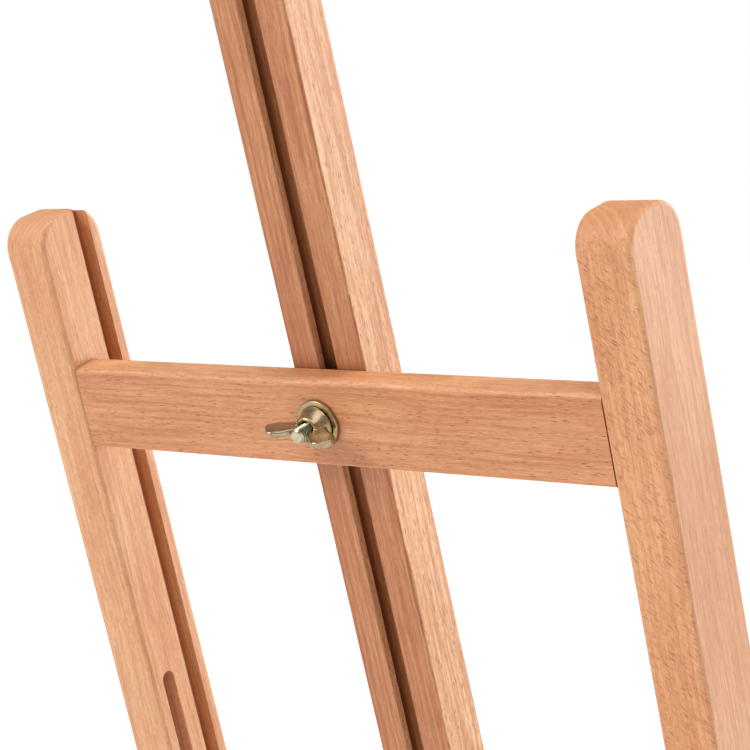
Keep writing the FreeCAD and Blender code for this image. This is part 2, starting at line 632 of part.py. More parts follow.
def build_braces():
    middle = BRACE_L / 2
    stretcher = box((-BRACE_X, BRACE_X), (middle - STRETCHER_H / 2, middle + STRETCHER_H / 2),
                    (-STRETCHER_T / 2, STRETCHER_T / 2))
    stretcher = soften(stretcher, X_AXIS, 1.5)
    places = [(V(BRACE_OUT, middle + step, 0), X_AXIS) for step in (-6.0, 6.0)]
    screws, (side, half_drilled) = drive(places, 36.0, brace(), stretcher)
    stretcher = half_drilled.common(mirrored(half_drilled))
    for name, sign in SIDES.items():
        nodes["brace_" + name] = braced(for_side(side, sign))
    nodes["brace_stretcher"] = braced(stretcher)
    nodes["brace_stretcher_screws"] = braced(pair(screws))

    nut_seat = POST_OUT + 0.1 + WASHER_T
    bolt = aimed(carriage_bolt(60.0), V(BRACE_X, BRACE_L, 0), X_AXIS)
    outer = aimed(washer(WASHER_T, WASHER_R, BORE_R), V(POST_OUT + 0.1, BRACE_L, 0), X_AXIS)
    inner = aimed(washer(SHIM_T, SHIM_R, BORE_R), V(BRACE_OUT + (SIDE_PLAY - SHIM_T) / 2, BRACE_L, 0), X_AXIS)
    nodes["slot_bolts"] = braced(pair(bolt))
    nodes["slot_washers"] = braced(pair(outer))
    nodes["slot_shims"] = braced(pair(inner))
    nut = aimed(wing_nut(), V(nut_seat, BRACE_L, 0), X_AXIS)
    for name, sign in SIDES.items():
        nodes["slot_wing_nut_" + name] = braced(for_side(nut, sign))


build_frame()
build_mast()
build_clamp()
build_base()
build_braces()

os.makedirs("parts", exist_ok=True)
for name, shape in nodes.items():
    shape.exportStep("parts/" + name + ".step")
    low, high = shape.BoundBox.ZMin, shape.BoundBox.ZMax
    print(f"{name:24s} solids {len(shape.Solids)} valid {shape.isValid()} volume {shape.Volume:10.1f} z {low:.1f} {high:.1f}")
print(f"{len(nodes)} nodes, slot bolt at {REST_SLOT:.2f} mm along the post")
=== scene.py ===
import json
import math

import bmesh
import bpy
from mathutils import Matrix, Vector


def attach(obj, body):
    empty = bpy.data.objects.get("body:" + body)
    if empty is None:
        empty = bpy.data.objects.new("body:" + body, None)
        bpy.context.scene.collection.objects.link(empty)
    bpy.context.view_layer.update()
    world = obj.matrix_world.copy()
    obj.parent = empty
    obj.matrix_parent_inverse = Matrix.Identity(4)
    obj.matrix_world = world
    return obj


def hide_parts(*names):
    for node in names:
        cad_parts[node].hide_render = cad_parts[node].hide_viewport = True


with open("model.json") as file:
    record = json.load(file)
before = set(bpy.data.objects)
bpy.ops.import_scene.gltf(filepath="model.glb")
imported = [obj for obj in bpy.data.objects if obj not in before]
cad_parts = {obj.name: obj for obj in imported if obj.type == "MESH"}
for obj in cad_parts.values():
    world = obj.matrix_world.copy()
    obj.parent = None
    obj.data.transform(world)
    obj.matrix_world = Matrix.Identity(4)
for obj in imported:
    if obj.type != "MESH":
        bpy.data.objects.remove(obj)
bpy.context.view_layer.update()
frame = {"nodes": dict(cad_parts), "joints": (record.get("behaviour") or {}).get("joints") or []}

MM = 0.001
NODES = frame["nodes"]
JOINTS = {joint["name"]: joint for joint in frame["joints"]}

# ---- directions at rest ----
X_AXIS = Vector((1, 0, 0))
Y_AXIS = Vector((0, 1, 0))
Z_AXIS = Vector((0, 0, 1))
MAST_UP = Vector(JOINTS["mast_slide"]["axis"]).normalized()     # the mast stands slightly askew
UP = Vector((0, MAST_UP.y, MAST_UP.z)).normalized()             # along the posts
BACK = UP.cross(X_AXIS)                                         # out of the back of the H-frame
BRACE_HINGE = Vector(JOINTS["brace_swing"]["pos_m"])
SLOT_BOLT = Vector(JOINTS["slot_wing_nut_left_turn"]["pos_m"])
BRACE = Vector((0, SLOT_BOLT.y - BRACE_HINGE.y, SLOT_BOLT.z - BRACE_HINGE.z)).normalized()

# ---- camera and light ----
CAMERA_AT = Vector((-0.5212, 0.6679, 0.5536))
CAMERA_AIM = Vector((0.6315, -0.7730, -0.0609)).normalized()
CAMERA_RIGHT = Vector((-0.7745, -0.6326, -0.0030))
CAMERA_LENS = 108.0                                             # mm
CAMERA_SENSOR = 36.0                                            # mm
BACKDROP_WAY = Vector((-0.48, -0.87, 0.0)).normalized()         # where the bright backdrop stands
KEY_FROM = Vector((0.42, 0.74, 0.52)).normalized()
TOP_FROM = Vector((-0.30, 0.05, 0.95)).normalized()

# ---- M6 hardware, mm ----
BOLT_R = 2.97
THREAD_PITCH = 1.0
THREAD_DEPTH = 0.60
BORE_R = 3.06
HEAD_R = 7.3
HEAD_H = 3.3
NECK_HALF = 3.0
NECK_H = 3.5
THREADED = 24.0             # at the tip of a carriage bolt
TEE_HEAD_H = 3.2
WASHER_EDGE = 0.42
NUT_ACROSS = 10.0
TURNS = 48                  # points round a turned piece; a multiple of 8 and of 12

# ---- wing nut, mm ----
WING_EAR_AT = (9.8, 9.6)
WING_EAR_R = 4.8
WING_ROOT_AT = (2.6, 3.5)
WING_ROOT_R = 2.9
WING_T = 3.2
WING_VOXEL = 0.21
NUT_CLEARANCE = 0.08        # between a nut and the washer that it turns on
EAR_POINTS = 32
EAR_STEPS = 26
HUB_OUTLINE = ((6.9, 0.0), (7.2, 0.35), (7.2, 0.9), (6.75, 1.7), (6.1, 3.0), (5.55, 4.3), (5.35, 5.2),
               (5.25, 5.9), (4.9, 6.35), (4.3, 6.5), (3.9, 6.3))
BORE_OUTLINE = ((BORE_R + 0.7, -0.6), (BORE_R + 0.5, 0.0), (BORE_R + 0.03, 0.5), (BORE_R + 0.03, 5.2),
                (4.1, 6.4), (4.6, 7.4))

# ---- edges sharper than these, in degrees, are drawn as edges ----
SHARP_TURNED = 32.0
SHARP_TEE = 40.0
SHARP_CAST = 50.0


# ======== node materials ========
class Graph:
    """The node tree of a material or a world, built by short calls."""

    def __init__(self, owner):
        self.owner = owner
        owner.use_nodes = True
        self.tree = owner.node_tree
        self.tree.nodes.clear()

    def node(self, kind, inputs=(), **settings):
        made = self.tree.nodes.new("ShaderNode" + kind)
        for key, value in settings.items():
            setattr(made, key, value)
        for key, value in dict(inputs).items():
            if isinstance(value, bpy.types.NodeSocket):
                self.tree.links.new(value, made.inputs[key])
            else:
                made.inputs[key].default_value = value
        return made

    def math(self, operation, a, b=0.0):
        return self.node("Math", {0: a, 1: b}, operation=operation).outputs[0]

    def vector(self, operation, a, b=(0.0, 0.0, 0.0)):
        return self.node("VectorMath", {0: a, 1: b}, operation=operation).outputs

    def scaled(self, vector, sizes):
        """The vector with each coordinate divided by a feature size."""
        return self.vector("MULTIPLY", vector, tuple(1 / size for size in sizes))[0]

    def span(self, value, low, high, to_low=0.0, to_high=1.0):
        """The value taken smoothly from one range to another."""
        ranges = {"Value": value, "From Min": low, "From Max": high, "To Min": to_low, "To Max": to_high}
        return self.node("MapRange", ranges, interpolation_type="SMOOTHSTEP").outputs["Result"]

    def noise(self, vector, detail=3.0, rough=0.5, distortion=0.0):
        made = self.node("TexNoise", {"Vector": vector, "Scale": 1.0, "Detail": detail,
                                      "Roughness": rough, "Distortion": distortion})
        return made.outputs["Fac"]

    def mix(self, factor, a, b, blend="MIX"):
        made = self.node("Mix", data_type="RGBA", blend_type=blend)
        for key, value in ((0, factor), (6, a), (7, b)):
            if isinstance(value, bpy.types.NodeSocket):
                self.tree.links.new(value, made.inputs[key])
            else:
                made.inputs[key].default_value = value
        return made.outputs[2]

    def occlusion(self, distance, samples):
        """How open the surface is within a distance in metres: 1 in the open, 0 deep in a gap."""
        return self.node("AmbientOcclusion", {"Distance": distance}, samples=samples).outputs["AO"]

    def finish(self, shader, output="OutputMaterial"):
        self.node(output, {"Surface": shader.outputs[0]})
        return self.owner


def material_graph(name):
    return Graph(bpy.data.materials.new(name))


def colour(red, green, blue):
    """A display colour, 0 to 255, as the linear value that shaders use."""
    def linear(value):
        value /= 255
        return value / 12.92 if value <= 0.04045 else ((value + 0.055) / 1.055) ** 2.4
    return (linear(red), linear(green), linear(blue), 1.0)


# ---- colours of the wood ----
PALE = colour(226, 174, 129)
LIGHT = colour(238, 196, 155)
WARM = colour(213, 154, 108)
DEEP = colour(182, 114, 70)
RING = colour(168, 97, 54)
RAY = colour(180, 108, 70)
DARK_RAY = colour(136, 74, 42)
END_GRAIN = colour(204, 139, 95)
SLOT_SHADE = colour(140, 76, 36)

# ---- grain of the wood, mm: along the grain, along the rays, and square to both ----
WANDER_SIZE = (48.0, 14.0, 14.0)
WANDER_REACH = (0.0, 4.0, 4.0)
HEART_AT = (0.0, 46.0, 13.0)        # from the piece to the heart of the tree
RING_WIDTH = 2.6
COARSE_FIBRE = (46.0, 1.3, 1.3)
FINE_FIBRE = (6.0, 0.30, 0.30)
PORE = (1.7, 0.34, 0.34)
PATCH = (80.0, 15.0, 15.0)
BOLD_RAY = (6.0, 10.0, 0.95)
SMALL_RAY = (3.0, 6.0, 0.52)
RIPPLE_SIZE = (1.8, 2.4, 6.0)
RIPPLE_REACH = (1.3, 1.6, 0.0)
FLECK_DEPTH = 8.0
SPECK_DEPTH = 5.0

# ---- how squarely a surface looks along a direction, from none of an effect to all of it ----
FACE_EDGE = (0.30, 0.80)
END_EDGE = (0.20, 0.80)
# the edge of the painted light and shade on faces square to the rays
FLAT_PAINTED_LIGHT_EDGE = (0.72, 0.95)

# ---- how far the shade of a gap reaches, metres ----
SLOT_REACH = 0.007
JOINT_REACH = 0.0011
CREVICE_REACH = 0.0009


def beech(name, along, radial, tone=(1.0, 1.0, 1.0), seed=0.0, dashes=0.8, flecks=0.5, fleck_slant=20.0,
          fleck_size=(0.9, 4.2), rings=1.0, streaks=1.0, flat_painted_light=None, quarter_painted_light=None):
    """Steamed beech whose grain runs along one direction.

    radial points from the heart of the tree to its bark. Faces across it show the rays as short dark
    dashes, and faces along it show them as flecks, fleck_slant degrees off the square of the grain.
    """
    g = material_graph(name)
    along = along.normalized()
    radial = (radial - along * radial.dot(along)).normalized()
    tangent = along.cross(radial)
    axes = Matrix([along, radial, tangent])
    place = g.node("TexCoord")
    grain = g.node("Mapping", {"Vector": place.outputs["Object"], "Rotation": axes.to_euler("XYZ"),
                               "Scale": (1 / MM,) * 3,
                               "Location": (37.0 * seed, 11.3 * seed, 7.7 * seed)}).outputs[0]

    def times(a, b):
        return g.math("MULTIPLY", a, b)

    def facing(direction, edge):
        """How squarely the surface looks along a direction."""
        dot = g.vector("DOT_PRODUCT", place.outputs["Normal"], tuple(direction))["Value"]
        return g.span(g.math("ABSOLUTE", dot), *edge)

    end = facing(along, END_EDGE)
    flat = facing(radial, FACE_EDGE)
    quarter = facing(tangent, FACE_EDGE)

    # slow wander, so that no line is quite straight
    wander = g.node("TexNoise", {"Vector": g.scaled(grain, WANDER_SIZE), "Scale": 1.0, "Detail": 3.0})
    offset = g.vector("SUBTRACT", wander.outputs["Color"], (0.5, 0.5, 0.5))[0]
    wavy = g.vector("ADD", grain, g.vector("MULTIPLY", offset, WANDER_REACH)[0])[0]

    # growth rings round a heart that lies off the piece
    heart = g.vector("ADD", wavy, HEART_AT)[0]
    radius = g.vector("LENGTH", g.vector("MULTIPLY", heart, (0.0, 1.0, 1.0))[0])["Value"]
    ring = g.math("DIVIDE", radius, RING_WIDTH)
    phase = g.math("FRACT", ring)
    ring_tone = g.node("TexWhiteNoise", {"W": g.math("FLOOR", ring)}, noise_dimensions="1D").outputs["Value"]
    late = times(g.span(phase, 0.25, 0.92), g.span(phase, 1.0, 0.93))
    late = times(late, g.span(ring_tone, 0.0, 1.0, 0.25, 1.0))

    # fibres and pores
    coarse = g.noise(g.scaled(wavy, COARSE_FIBRE), 4.0, 0.62)
    fine = g.noise(g.scaled(wavy, FINE_FIBRE), 2.0, 0.6)
    pores = g.noise(g.scaled(wavy, PORE), 1.0, 0.5)
    patch = g.noise(g.scaled(grain, PATCH), 2.0, 0.5)

    def ray_layer(vector, sizes, reach, presence):
        """Slivers scattered one to a cell, and a random tone for each."""
        cells = g.node("TexVoronoi", {"Vector": g.scaled(vector, sizes), "Scale": 1.0, "Randomness": 1.0})
        core = g.span(cells.outputs["Distance"], reach, reach * 0.4)
        pick = g.node("SeparateColor", {"Color": cells.outputs["Color"]})
        chosen = g.span(pick.outputs["Red"], 1.0 - presence, 1.0 - presence + 0.3)
        return times(core, chosen), pick.outputs["Green"]

    # rays: dashes end on, and flecks where a face runs along them
    bold, bold_tone = ray_layer(wavy, BOLD_RAY, 0.28, 0.95)
    small, _ = ray_layer(wavy, SMALL_RAY, 0.33, 0.9)
    ripple = g.node("TexNoise", {"Vector": g.scaled(wavy, RIPPLE_SIZE), "Scale": 1.0, "Detail": 2.0})
    shake = g.vector("MULTIPLY", ripple.outputs["Color"], RIPPLE_REACH)[0]
    slanted = g.node("VectorRotate", {"Vector": g.vector("ADD", wavy, shake)[0],
                                      "Angle": math.radians(fleck_slant)}, rotation_type="Z_AXIS").outputs[0]
    short, long = fleck_size
    fleck, fleck_tone = ray_layer(slanted, (short, long, FLECK_DEPTH), 0.44, 0.85)
    speck, speck_tone = ray_layer(slanted, (short * 0.6, long * 0.5, SPECK_DEPTH), 0.44, 0.8)

    # each layer: how much of it shows where, and its colour
    base = g.mix(g.span(patch, 0.30, 0.70), PALE, WARM)
    for amount, layer in (
            (times(g.span(coarse, 0.38, 0.68), 0.62 * streaks), DEEP),
            (times(late, 0.36 * rings), RING),
            (times(g.span(fine, 0.44, 0.70), 0.42 * streaks), DEEP),
            (times(g.span(fine, 0.48, 0.28), 0.34), LIGHT),
            (times(g.span(pores, 0.54, 0.72), 0.22), DARK_RAY),
            (times(times(bold, flat), min(1.0, 0.95 * dashes)),
             g.mix(g.span(bold_tone, 0.3, 1.0), DARK_RAY, RAY)),
            (times(times(small, flat), 0.55 * dashes), RAY),
            (times(times(fleck, quarter), 0.72 * flecks), g.mix(g.span(fleck_tone, 0.60, 1.0), RAY, PALE)),
            (times(times(speck, quarter), 0.60 * flecks),
             g.mix(g.span(speck_tone, 0.40, 1.0), DARK_RAY, PALE)),
            (times(end, 0.55), END_GRAIN),
            (times(times(end, late), 0.35), LIGHT)):
        base = g.mix(amount, base, layer)
    base = g.mix(1.0, base, (*tone, 1.0), "MULTIPLY")
    # painted light and shade: faces square to the rays and faces along them are tinted lighter and paler where
    # sheen and light from above fall, and darker where the light misses
    for mask, shift in ((facing(radial, FLAT_PAINTED_LIGHT_EDGE), flat_painted_light), (quarter, quarter_painted_light)):
        if shift:
            base = g.mix(mask, base, (*shift, 1.0), "MULTIPLY")
    # dark in the depth of slots, and the thin shade of the joints
    base = g.mix(g.span(g.occlusion(SLOT_REACH, 5), 0.36, 0.72, 0.66, 0.0), base, SLOT_SHADE)
    base = g.mix(g.span(g.occlusion(JOINT_REACH, 3), 0.30, 0.80, 0.20, 0.0), base, SLOT_SHADE)

    height = g.math("ADD", times(fine, 0.7), times(bold, -0.5))
    height = g.math("ADD", height, times(coarse, 0.4))
    height = g.math("ADD", height, times(times(fleck, quarter), -0.15 * flecks))
    bump = g.node("Bump", {"Height": height, "Strength": 0.25, "Distance": 0.00016})
    roughness = g.span(g.math("ADD", times(coarse, 0.5), times(end, 0.5)), 0.1, 0.8, 0.42, 0.60)
    shader = g.node("BsdfPrincipled", {"Base Color": base, "Roughness": roughness, "Normal": bump.outputs[0],
                                       "IOR": 1.5, "Specular IOR Level": 0.5})
    return g.finish(shader)


# ---- metal and rubber: feature sizes in mm, and colours ----
FILM_SIZE = 2.5
METAL_SPECK_SIZE = 0.35
METAL_SPECK = colour(104, 86, 58)
CREVICE_SHADE = colour(60, 46, 26)
RUBBER_DARK = colour(42, 41, 40)
RUBBER_DUSTY = colour(62, 60, 57)
RUBBER_SPECK_SIZE = 0.5
RUBBER_DUST_SIZE = 6.0


def mm_place(g):
    """The place on the object, in mm."""
    return g.scaled(g.node("TexCoord").outputs["Object"], (MM,) * 3)


def plated(name, tints, roughness=(0.22, 0.36), crevice=(0.10, 0.65)):
    """Plated steel: the passivated film drifts between a few tints."""
    g = material_graph(name)
    place = mm_place(g)
    drift = g.noise(g.scaled(place, (FILM_SIZE,) * 3), 3.0, 0.6, 0.8)
    speck = g.noise(g.scaled(place, (METAL_SPECK_SIZE,) * 3), 2.0)
    first, second, third = (colour(*tint) for tint in tints)
    base = g.mix(g.span(drift, 0.30, 0.55), first, second)
    base = g.mix(g.span(drift, 0.50, 0.75), base, third)
    base = g.mix(g.math("MULTIPLY", g.span(speck, 0.55, 0.75), 0.18), base, METAL_SPECK)
    base = g.mix(g.span(g.occlusion(CREVICE_REACH, 4), *crevice, 0.85, 0.0), base, CREVICE_SHADE)
    bump = g.node("Bump", {"Height": speck, "Strength": 0.10, "Distance": 0.00004})
    shader = g.node("BsdfPrincipled", {"Base Color": base, "Metallic": 1.0, "Normal": bump.outputs[0],
                                       "Roughness": g.span(drift, 0.3, 0.7, *roughness)})
    return g.finish(shader)


def rubber(name):
    """Black moulded rubber with a little dust."""
    g = material_graph(name)
    place = mm_place(g)
    speck = g.noise(g.scaled(place, (RUBBER_SPECK_SIZE,) * 3), 4.0, 0.7)
    dust = g.noise(g.scaled(place, (RUBBER_DUST_SIZE,) * 3), 3.0)
    base = g.mix(g.span(dust, 0.4, 0.7), RUBBER_DARK, RUBBER_DUSTY)
    bump = g.node("Bump", {"Height": speck, "Strength": 0.35, "Distance": 0.0001})
    shader = g.node("BsdfPrincipled", {"Base Color": base, "Normal": bump.outputs[0],
                                       "Roughness": g.span(speck, 0.3, 0.7, 0.62, 0.8)})
    return g.finish(shader)


YELLOW_ZINC = plated("yellow_zinc", ((162, 137, 99), (178, 160, 126), (160, 151, 142)))
BRIGHT_ZINC = plated("bright_zinc", ((178, 172, 144), (198, 192, 166), (170, 160, 130)),
                     crevice=(0.62, 1.0))
SCREW_ZINC = plated("screw_zinc", ((150, 132, 88), (172, 154, 106), (138, 120, 84)), (0.28, 0.42))
BRASS = plated("brass", ((196, 160, 84), (208, 176, 104), (180, 142, 72)), (0.22, 0.38))
RUBBER = rubber("rubber")


# ======== finish of the pieces carried over from CAD ========
def finish(node, material):
    """Give a CAD node its material."""
    mesh = NODES[node].data
    mesh.materials.clear()
    mesh.materials.append(material)


def between(a, b, angle):
    """A direction that stands at an angle in degrees from a towards b."""
    return a * math.cos(math.radians(angle)) + b * math.sin(math.radians(angle))


# ---- each wooden node: the way of its grain and rays, its figure, its tone and the painted light and shade on its faces ----
WOOD = {
    "post_left": dict(along=UP, radial=X_AXIS, flecks=0.55, fleck_slant=60.0, fleck_size=(0.75, 5.5),
                      dashes=0.25, rings=0.6, streaks=0.8, flat_painted_light=(0.94, 0.95, 0.97)),
    "post_right": dict(along=UP, radial=X_AXIS, flecks=1.0, fleck_slant=42.0, fleck_size=(0.85, 6.0),
                       dashes=0.15, rings=0.5, streaks=0.8, tone=(0.94, 0.87, 0.80),
                       flat_painted_light=(0.87, 0.91, 1.01)),
    "upper_crossbar": dict(along=X_AXIS, radial=BACK, dashes=0.75, streaks=0.8, tone=(0.86, 0.735, 0.64),
                           quarter_painted_light=(1.20, 1.34, 1.50)),
    "lower_crossbar": dict(along=X_AXIS, radial=between(BACK, UP, -20), tone=(0.97, 0.93, 0.92)),
    "mast": dict(along=MAST_UP, radial=X_AXIS, dashes=1.1, flecks=0.15, rings=2.1, streaks=1.4,
                 flat_painted_light=(1.02, 1.14, 1.24), quarter_painted_light=(0.75, 0.62, 0.53)),
    "tray_rail": dict(along=X_AXIS, radial=between(BACK, UP, 70)),
    "tray_guide_left": dict(along=UP, radial=X_AXIS, tone=(0.95, 0.9, 0.87)),
    "tray_guide_right": dict(along=UP, radial=between(X_AXIS, BACK, 60), tone=(0.97, 0.93, 0.92)),
    "tray_shelf": dict(along=X_AXIS, radial=between(UP, BACK, 15)),
    "tray_lip": dict(along=X_AXIS, radial=between(BACK, UP, 80), tone=(0.97, 0.94, 0.92)),
    "clamp_saddle": dict(along=X_AXIS, radial=between(UP, BACK, 30)),
    "clamp_back_plate": dict(along=X_AXIS, radial=between(BACK, UP, 10), tone=(0.96, 0.92, 0.9)),
    "clamp_arm": dict(along=BACK, radial=between(UP, X_AXIS, 20)),
    "clamp_lip": dict(along=X_AXIS, radial=between(BACK, UP, 35), tone=(0.97, 0.93, 0.9)),
    "runner_left": dict(along=Y_AXIS, radial=between(X_AXIS, Z_AXIS, 10)),
    "runner_right": dict(along=Y_AXIS, radial=between(X_AXIS, Z_AXIS, 75), tone=(0.97, 0.94, 0.92)),
    "hinge_block_left": dict(along=Y_AXIS, radial=Z_AXIS),
    "hinge_block_right": dict(along=Y_AXIS, radial=between(X_AXIS, Z_AXIS, 30)),
    "front_rail": dict(along=X_AXIS, radial=between(Y_AXIS, Z_AXIS, 15), tone=(0.98, 0.95, 0.93)),
    "rear_rail": dict(along=X_AXIS, radial=between(Y_AXIS, Z_AXIS, 65)),
    "brace_left": dict(along=BRACE, radial=between(X_AXIS, Z_AXIS, 12)),
    "brace_right": dict(along=BRACE, radial=between(X_AXIS, Z_AXIS, 60), tone=(0.97, 0.94, 0.92)),
    "brace_stretcher": dict(along=X_AXIS, radial=BRACE, tone=(0.97, 0.93, 0.91)),
    "crossbar_dowels": dict(along=X_AXIS, radial=Z_AXIS),
}
for index, (node, look) in enumerate(WOOD.items()):
    finish(node, beech("beech_" + node, seed=index + 1.0, **look))
for node in NODES:
    if node.endswith("_screws"):
        finish(node, SCREW_ZINC)
finish("clamp_insert", BRASS)


# ======== hardware ========
def solids(node):
    """The points of each separate solid of a CAD node."""
    bm = bmesh.new()
    bm.from_mesh(NODES[node].data)
    bmesh.ops.remove_doubles(bm, verts=bm.verts, dist=1e-6)
    seen, groups = set(), []
    for start in bm.verts:
        if start in seen:
            continue
        seen.add(start)
        group, front = [], [start]
        while front:
            vert = front.pop()
            group.append(vert.co.copy())
            for edge in vert.link_edges:
                other = edge.other_vert(vert)
                if other not in seen:
                    seen.add(other)
                    front.append(other)
        groups.append(group)
    bm.free()
    return groups


def seat(points, direction):
    """Where a turned piece starts on its axis, its length and its width across, in metres."""
    def span_along(way):
        reach = [point.dot(way) for point in points]
        return min(reach), max(reach)
    first = direction.orthogonal().normalized()
    second = direction.cross(first)
    low, high = span_along(direction)
    (first_low, first_high), (second_low, second_high) = span_along(first), span_along(second)
    start = first * (first_low + first_high) / 2 + second * (second_low + second_high) / 2 + direction * low
    return start, high - low, first_high - first_low


def placing(origin, direction, side):
    """From a piece drawn in mm up the Z axis to its place in the scene, its X axis along side."""
    side = (side - direction * side.dot(direction)).normalized()
    turn = Matrix((side, direction.cross(side), direction)).transposed()
    return Matrix.Translation(origin) @ turn.to_4x4() @ Matrix.Scale(MM, 4)


def circle(radius, height):
    return [(radius, height)] * TURNS


def square(half, height):
    ring = []
    for index in range(TURNS):
        angle = math.tau * index / TURNS
        ring.append((half / max(abs(math.cos(angle)), abs(math.sin(angle))), height))
    return ring


def hexagon(across, height, limit):
    """A hexagon whose corners are cut off at a radius, as a chamfer cuts them."""
    ring = []
    for index in range(TURNS):
        angle = (math.tau * index / TURNS + math.pi / 6) % (math.pi / 3) - math.pi / 6
        ring.append((min(across / 2 / math.cos(angle), limit), height))
    return ring


def turned(outline):
    """The rings of a turned piece, from the radius and height of each corner of its outline."""
    return [circle(radius, height) for radius, height in outline]


def thread(low, high, steps=7):
    """Rings that follow a rounded V thread, shallower at its start."""
    rings = []
    total = int((high - low) / THREAD_PITCH * steps)
    for step in range(total + 1):
        height = low + (high - low) * step / total
        fade = min(1.0, (height - low) / THREAD_PITCH)
        ring = []
        for index in range(TURNS):
            turn = (height / THREAD_PITCH - index / TURNS) % 1.0
            flank = min(1.0, max(0.0, (abs(2 * turn - 1) - 0.12) / 0.76))
            ring.append((BOLT_R - THREAD_DEPTH * flank * fade, height))
        rings.append(ring)
    return rings


def skin(bm, lower, upper):
    """Faces all round between two rows of points."""
    count = len(lower)
    for index in range(count):
        after = (index + 1) % count
        bm.faces.new((lower[index], lower[after], upper[after], upper[index]))


def ring_surface(bm, rings, matrix, through=False):
    """A closed surface over a stack of rings. It is closed with points at both ends, or joined end to end."""
    count = len(rings[0])
    rows = []
    for ring in rings:
        row = []
        for index, (radius, height) in enumerate(ring):
            angle = math.tau * index / count
            point = Vector((radius * math.cos(angle), radius * math.sin(angle), height))
            row.append(bm.verts.new(matrix @ point))
        rows.append(row)
    pairs = list(zip(rows, rows[1:])) + ([(rows[-1], rows[0])] if through else [])
    for lower, upper in pairs:
        skin(bm, lower, upper)
    if not through:
        for row, flip in ((rows[0], True), (rows[-1], False)):
            centre = bm.verts.new(sum((vert.co for vert in row), Vector()) / count)
            for index in range(count):
                after = (index + 1) % count
                corner = (row[after], row[index]) if flip else (row[index], row[after])
                bm.faces.new((*corner, centre))


def finish_mesh(name, bm, sharp=SHARP_TURNED):
    """The mesh with its faces outward and smooth, except across sharp edges."""
    bmesh.ops.recalc_face_normals(bm, faces=bm.faces)
    mesh = bpy.data.meshes.new(name)
    for face in bm.faces:
        face.smooth = True
    for edge in bm.edges:
        edge.smooth = not (edge.is_manifold and edge.calc_face_angle(0.0) > math.radians(sharp))
    bm.to_mesh(mesh)
    bm.free()
    return mesh


def add_piece(mesh, body, material, slot, *nodes):
    """A visible piece that rides on a body in place of CAD nodes."""
    piece = bpy.data.objects.new(mesh.name, mesh)
    bpy.context.scene.collection.objects.link(piece)
    mesh.materials.append(material)
    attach(piece, body)
    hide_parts(*nodes)


def carriage_bolt(bm, matrix, length):
    """Cup head, square neck, plain shank and a thread, the underside of the head at zero."""
    ball = (HEAD_R ** 2 + HEAD_H ** 2) / (2 * HEAD_H)
    rings = []
    for step in range(1, 9):
        radius = HEAD_R * step / 8.4
        rings.append(circle(radius, ball - HEAD_H - math.sqrt(ball ** 2 - radius ** 2)))
    rings += turned(((HEAD_R - 0.05, -0.45), (HEAD_R, -0.25), (HEAD_R - 0.15, 0)))
    rings += [square(NECK_HALF, 0), square(NECK_HALF, NECK_H - 0.5), circle(BOLT_R, NECK_H)]
    plain = max(NECK_H + 1.0, length - THREADED)
    rings += [circle(BOLT_R, plain - 0.2)] + thread(plain, length - 0.8)
    rings += turned(((2.35, length - 0.3), (1.9, length)))
    ring_surface(bm, rings, matrix)


def tee_bolt(bm, matrix, head_half, length):
    """Square head for the slot of the mast, its underside at zero, threaded to the tip."""
    rings = [square(head_half - 0.9, -TEE_HEAD_H), square(head_half - 0.25, -TEE_HEAD_H + 0.5),
             square(head_half - 0.02, -TEE_HEAD_H + 0.9), square(head_half - 0.02, -0.25),
             square(head_half - 0.2, 0), circle(BOLT_R + 0.05, 0), circle(BOLT_R, 0.4)]
    rings += thread(4.0, length - 0.75, steps=9)
    rings += turned(((2.5, length - 0.45), (2.15, length - 0.12), (1.75, length)))
    ring_surface(bm, rings, matrix)


def washer(bm, matrix, thickness, outer):
    """A stamped washer: the upper outer edge well rounded, the others barely."""
    edge = min(WASHER_EDGE, thickness * 0.4)
    small = edge * 0.35
    outline = [(BORE_R + small, 0), (outer - small, 0), (outer, small)]
    for step in range(5):
        angle = math.pi / 2 * step / 4
        outline.append((outer - edge + edge * math.cos(angle), thickness - edge + edge * math.sin(angle)))
    outline += [(BORE_R + edge, thickness), (BORE_R + edge * 0.3, thickness - edge * 0.3),
                (BORE_R, thickness - edge), (BORE_R, small)]
    ring_surface(bm, turned(outline), matrix, through=True)


def lock_nut(bm, matrix, height):
    """A nylon-insert nut: chamfered hexagon below, rolled collar above."""
    across = NUT_ACROSS
    corner = across / math.sqrt(3)
    shoulder = height * 0.72
    rings = [hexagon(across, level, limit) for level, limit in (
        (0, across * 0.48), (0.35, across * 0.53), (0.8, corner - 0.05), (shoulder - 0.6, corner - 0.05),
        (shoulder - 0.1, across * 0.51))]
    rings += turned(((across * 0.465, shoulder), (across * 0.45, height - 0.6), (across * 0.425, height - 0.12),
                     (across * 0.39, height), (across * 0.355, height - 0.15), (across * 0.345, height - 0.6),
                     (BORE_R + 0.15, height - 0.75), (BORE_R, height - 1.0), (BORE_R, 0.5), (BORE_R + 0.4, 0)))
    ring_surface(bm, rings, matrix, through=True)


